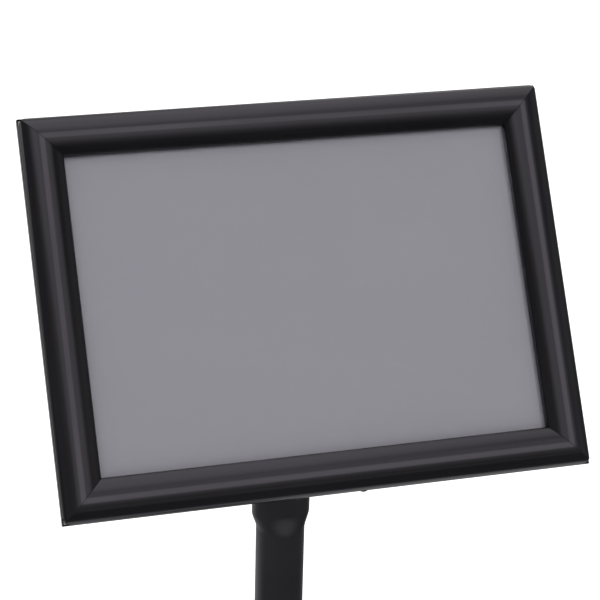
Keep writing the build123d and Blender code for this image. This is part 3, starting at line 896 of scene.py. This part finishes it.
boss_profile += rounded(
    [
        (BOSS_RADIUS, boss_end - BOSS_RIM, 0),
        (BOSS_RADIUS, boss_end, BOSS_EDGE),
        (RECESS_RADIUS, boss_end, EDGE_SOFT),
        (RECESS_RADIUS - EDGE_ROUND, boss_end - RECESS_DEPTH, EDGE_TRACE),
        (stud_bore, boss_end - RECESS_DEPTH, 0),
    ]
)
clamp_shells = [
    turned(UPRIGHT, collar_profile, hollow=True),
    turned(placement(CLAMP, Y_AXIS, X_AXIS), boss_profile, hollow=True, steps=56),
]
add_piece("height_clamp", clamp_shells, "base", "moulded_plastic", ["clamp_collar"])


# ---------------------------------------------------------------- knobs
def lobed(angle, radius, height):
    """Radius of a softly lobed grip; the hub below it stays round."""
    wave = 0.5 - 0.5 * cos(KNOB_LOBES * angle)
    depth = (KNOB_RADIUS - KNOB_VALLEY) * (1 - wave**LOBE_FULLNESS)
    share = max(0.0, min(1.0, (radius - HUB_RADIUS) / (KNOB_RADIUS - HUB_RADIUS)))
    return radius - depth * share


def knob_shell(place, bore):
    """Lobed knob with a stepped hub, a rolled rim and a dished centre."""
    top = HUB_HEIGHT + KNOB_HEIGHT
    profile = rounded(
        [
            (bore, 0.0, EDGE_TRACE),
            (HUB_RADIUS - HUB_DRAFT, 0.0, EDGE_FULL),
            (HUB_RADIUS - EDGE_ROUND, HUB_HEIGHT - NECK_RISE, EDGE_ROUND),
            (KNOB_RADIUS - UNDERSIDE_EDGE, HUB_HEIGHT, UNDERSIDE_EDGE),
            (KNOB_RADIUS, HUB_HEIGHT + BELLY_RISE, BELLY_RADIUS),
            (KNOB_RADIUS - EDGE_SOFT, top - RIM_DROP, RIM_RADIUS),
            (KNOB_RADIUS - RIM_WIDTH, top, RIM_DROP),
            (DISH_RADIUS, top - DISH_DEPTH / 2, DISH_DEPTH / 2),
            (DISH_RADIUS - DISH_DEPTH / 2, top - DISH_DEPTH - EDGE_SOFT, EDGE_SOFT),
            (NEAR_AXIS, top - DISH_DEPTH, 0),
            (NEAR_AXIS, top - SOCKET_CEILING, 0),
            (bore, top - SOCKET_CEILING, 0),
        ]
    )
    return turned(place, profile, hollow=True, outline=lobed, steps=160)


clamp_knob_low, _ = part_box("clamp_knob")
tilt_knob_low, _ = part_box("tilt_knob")
_, insert_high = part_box("tilt_knob_insert")
knobs = {
    "clamp": (Vector((clamp_knob_low.x, 0, CLAMP.z)), STUD_RADIUS + CLEARANCE),
    "tilt": (Vector((tilt_knob_low.x, 0, PIVOT.z)), insert_high.z - PIVOT.z + CLEARANCE),
}
for name, (origin, bore) in knobs.items():
    shell = knob_shell(placement(origin, Y_AXIS, X_AXIS), bore)
    knob = name + "_knob"
    add_piece(name + "_grip", [shell], knob, "moulded_plastic", [knob])

# ---------------------------------------------------------------- tilt bracket
plate_front = sign_box("friction_disc")[0].z - CLEARANCE
plate_back = plate_front - SHEET
bracket_low, bracket_high = sign_box("tilt_bracket")
cheek_outer = bracket_high.x
pivot_local = SIGN.inverted() @ PIVOT


def bracket_line(depth):
    """Centre line and normals of the folded sheet, from one cheek's end to the other's."""
    bend_centre = Vector((cheek_outer - SHEET - BEND_RADIUS, plate_back - BEND_RADIUS))
    bend_line = BEND_RADIUS + SHEET / 2
    line = [(Vector((bend_centre.x + bend_line, depth)), Vector((1, 0)))]
    line += arc_line(bend_centre, bend_line, 0, pi / 2, 8)
    mirrored = [(Vector((-p.x, p.y)), Vector((-out.x, out.y))) for p, out in line[::-1]]
    return line + mirrored


def bracket_ring(y, depth):
    """Closed section of the folded sheet at one height of the cheeks."""
    line = bracket_line(depth)
    half = SHEET / 2
    outer = [p + out * half for p, out in line]
    inner = [p - out * half for p, out in line]
    return [SIGN @ Vector((p.x, y, p.y)) for p in outer + inner[::-1]]


cheek_rings = []
for k in range(CHEEK_STEPS + 1):
    turn = pi * k / CHEEK_STEPS
    y = pivot_local.y - CHEEK_RADIUS * cos(turn)
    cheek_rings.append(bracket_ring(y, pivot_local.z - CHEEK_RADIUS * sin(turn)))
notch_x = cheek_outer - SHEET - BEND_RADIUS - RELIEF
notch_low = pivot_local.y - CHEEK_RADIUS - RELIEF
notch_high = pivot_local.y + CHEEK_RADIUS + RELIEF
plate_outline = rounded(
    [
        (-cheek_outer, bracket_low.y, LOWER_CORNER),
        (cheek_outer, bracket_low.y, LOWER_CORNER),
        (cheek_outer, notch_low, EDGE_FULL),
        (notch_x, notch_low, EDGE_SOFT),
        (notch_x, notch_high, EDGE_SOFT),
        (cheek_outer, notch_high, EDGE_FULL),
        (cheek_outer, bracket_high.y, UPPER_CORNER),
        (-cheek_outer, bracket_high.y, UPPER_CORNER),
        (-cheek_outer, notch_high, EDGE_FULL),
        (-notch_x, notch_high, EDGE_SOFT),
        (-notch_x, notch_low, EDGE_SOFT),
        (-cheek_outer, notch_low, EDGE_FULL),
    ]
)
bracket_shells = [
    strip_loft(cheek_rings),
    prism(SIGN, plate_outline, plate_back, plate_front, SHEET_EDGE),
]
add_piece(
    "folded_bracket", bracket_shells, "tilt_bracket", "powder_coated_steel", ["tilt_bracket"]
)


# ---------------------------------------------------------------- turning joint
def hexagon(angle, radius, height):
    """Hexagonal reach cut back to a round chamfer at the nut's faces; the bore stays round."""
    if radius < (STUD_RADIUS + NUT_RADIUS) / 2:
        return radius
    within = (angle + pi / 6) % (pi / 3) - pi / 6
    return min(NUT_RADIUS * cos(pi / 6) / cos(within), radius)


nut_low, nut_high = sign_box("turn_nut")
nut_chamfer = NUT_RADIUS * (1 - cos(pi / 6))
nut_half = [
    (STUD_RADIUS + CLEARANCE, EDGE_SOFT),
    (STUD_RADIUS + EDGE_FULL, 0),
    (NUT_RADIUS - nut_chamfer * 1.05, 0),
    (NUT_RADIUS - nut_chamfer * 0.5, EDGE_FINE),
    (NUT_RADIUS, NUT_EDGE),
]
nut_profile = [Vector((radius, nut_low.z + rise)) for radius, rise in nut_half]
nut_profile += [Vector((radius, nut_high.z - rise)) for radius, rise in nut_half[::-1]]
nut_shell = turned(SIGN, nut_profile, hollow=True, outline=hexagon, steps=144)
add_piece("lock_nut", [nut_shell], "sign_frame", "zinc_steel", ["turn_nut"])

# ---------------------------------------------------------------- clear cover
cover_low, cover_high = sign_box("clear_cover")


def film_lift(u, v):
    """How far the film stands off the card at shares of its width and height."""
    edge = max(0.0, 1 - v / FILM_LIFT_HEIGHT)
    along = sin(pi * min(1.0, u / FILM_LIFT_WIDTH))
    return FILM_LIFT * edge * edge * along


film_top = []
film_bottom = []
for row in range(FILM_ROWS + 1):
    v = row / FILM_ROWS
    for column in range(FILM_COLUMNS + 1):
        u = column / FILM_COLUMNS
        x = cover_low.x + (cover_high.x - cover_low.x) * u
        y = cover_low.y + (cover_high.y - cover_low.y) * v
        z = cover_low.z + CLEARANCE + film_lift(u, v)
        film_bottom.append(SIGN @ Vector((x, y, z)))
        film_top.append(SIGN @ Vector((x, y, z + FILM_THICKNESS)))
film_faces = []
width = FILM_COLUMNS + 1
level = len(film_top)
for row in range(FILM_ROWS):
    for column in range(FILM_COLUMNS):
        a = row * width + column
        face = (a, a + 1, a + width + 1, a + width)
        film_faces.append(face)
        film_faces.append(tuple(level + corner for corner in face))
rim = list(range(width))
rim += [row * width + FILM_COLUMNS for row in range(1, FILM_ROWS + 1)]
rim += [FILM_ROWS * width + column for column in range(FILM_COLUMNS - 1, -1, -1)]
rim += [row * width for row in range(FILM_ROWS - 1, 0, -1)]
for i, a in enumerate(rim):
    b = rim[(i + 1) % len(rim)]
    film_faces.append((a, b, level + b, level + a))
film_shell = (film_top + film_bottom, film_faces)
add_piece("cover_film", [film_shell], "sign_frame", "clear_film", ["clear_cover"])

# ---------------------------------------------------------------- carried-over CAD nodes
slots = {part["node"]: part["material_slot"] for part in frame["record"]["subparts"]}
for node, obj in frame["nodes"].items():
    if obj.hide_render:
        continue
    obj.data.materials.clear()
    if slots[node] == "anodised_profile":
        obj.data.materials.append(PROFILE_LOOKS[node.split("_")[0]])
    else:
        obj.data.materials.append(LOOKS[slots[node]])

# ---------------------------------------------------------------- floor, light and camera
floor_mesh = bpy.data.meshes.new("floor")
quarters = ((-1, -1), (1, -1), (1, 1), (-1, 1))
floor_corners = [(x * FLOOR_HALF, y * FLOOR_HALF, 0) for x, y in quarters]
floor_mesh.from_pydata(floor_corners, [], [(0, 1, 2, 3)])
floor = bpy.data.objects.new("floor", floor_mesh)
bpy.context.scene.collection.objects.link(floor)
paper = Look("floor_paper", (0.86, 0.86, 0.86), 0.9, Specular_IOR_Level=0.2)
paper.tint(paper.stretch(paper.noise(0.5, 2), 0.3, 0.7), (0.88, 0.88, 0.88))
paper.shader.inputs["Emission Color"].default_value = (1, 1, 1, 1)
paper.shader.inputs["Emission Strength"].default_value = FLOOR_GLOW
floor_mesh.materials.append(paper.finish())
floor.visible_glossy = False

world = bpy.data.worlds.new("studio")
bpy.context.scene.world = world
world.use_nodes = True
tree = world.node_tree
background = tree.nodes["Background"]


def node_of(kind, **settings):
    """New node of the world's light with properties set by name."""
    node = tree.nodes.new(kind)
    for key, value in settings.items():
        setattr(node, key, value)
    return node


def reckon(operation, *values):
    """Output of one arithmetic node whose inputs are numbers or other outputs."""
    node = node_of("ShaderNodeMath", operation=operation)
    for socket, value in zip(node.inputs, values):
        if isinstance(value, (int, float)):
            socket.default_value = value
        else:
            tree.links.new(value, socket)
    return node.outputs[0]


def ramp(value, low, high):
    """Smooth step from 0 at low to 1 at high."""
    node = node_of("ShaderNodeMapRange", interpolation_type="SMOOTHSTEP")
    node.inputs["From Min"].default_value = low
    node.inputs["From Max"].default_value = high
    tree.links.new(value, node.inputs["Value"])
    return node.outputs["Result"]


def within(angle, middle, half, soft):
    """1 where an angle is near the middle and 0 beyond; the numbers are in degrees."""
    away = reckon("ABSOLUTE", reckon("SUBTRACT", angle, radians(middle)))
    return reckon("SUBTRACT", 1.0, ramp(away, radians(half - soft), radians(half + soft)))


def panel(azimuth, half_turn, turn_soft, elevation, half_rise, rise_soft, strength):
    """Soft rectangular light centred on a direction."""
    across = within(heading, azimuth, half_turn, turn_soft)
    up = within(rise, elevation, half_rise, rise_soft)
    return reckon("MULTIPLY", reckon("MULTIPLY", across, up), strength)


def wide_light(value, start, full, strength):
    """Light that grows along an axis; its strength is a number or another output."""
    return reckon("MULTIPLY", ramp(value, start, full), strength)


split = node_of("ShaderNodeSeparateXYZ")
tree.links.new(node_of("ShaderNodeTexCoord").outputs["Generated"], split.inputs[0])
x, y, z = split.outputs
heading = reckon("ARCTAN2", x, reckon("MULTIPLY", y, -1.0))
rise = reckon("ARCSINE", z)
back_start, back_full, back_strength = BACK_WALL
lean = reckon("SUBTRACT", back_strength, reckon("MULTIPLY", x, BACK_WALL_LEAN))
studio = panel(*SOFTBOX)
for light in (
    wide_light(z, *OVERHEAD),
    wide_light(y, back_start, back_full, lean),
    *(panel(*numbers) for numbers in OTHER_PANELS),
    wide_light(reckon("MULTIPLY", z, -1.0), *UNDERSIDE),
    DARKEST,
):
    studio = reckon("ADD", studio, light)
# The camera and the matt surfaces see an even fill; glossy ones mirror the panels
rays = node_of("ShaderNodeLightPath")
even = reckon("MAXIMUM", rays.outputs["Is Diffuse Ray"], rays.outputs["Is Camera Ray"])
mirrored = reckon("MULTIPLY", reckon("SUBTRACT", 1.0, even), studio)
total = reckon("ADD", mirrored, reckon("MULTIPLY", even, FILL))
tree.links.new(total, background.inputs["Strength"])
background.inputs["Color"].default_value = LIGHT_COLOUR

forward = Vector(
    (
        -sin(CAMERA_AZIMUTH) * cos(CAMERA_DROP),
        cos(CAMERA_AZIMUTH) * cos(CAMERA_DROP),
        -sin(CAMERA_DROP),
    )
)
right = forward.cross(Z_AXIS).normalized()
up = right.cross(forward)
camera_right = right * cos(CAMERA_ROLL) + up * sin(CAMERA_ROLL)
camera_up = up * cos(CAMERA_ROLL) - right * sin(CAMERA_ROLL)
camera_data = bpy.data.cameras.new("camera")
camera_data.sensor_width = SENSOR_WIDTH
camera_data.lens = CAMERA_LENS
camera = bpy.data.objects.new("camera", camera_data)
bpy.context.scene.collection.objects.link(camera)
turned_axes = Matrix((camera_right, camera_up, -forward)).transposed().to_4x4()
camera.matrix_world = Matrix.Translation(CAMERA_PLACE) @ turned_axes
bpy.context.scene.camera = camera
bpy.context.scene.view_settings.view_transform = "Standard"
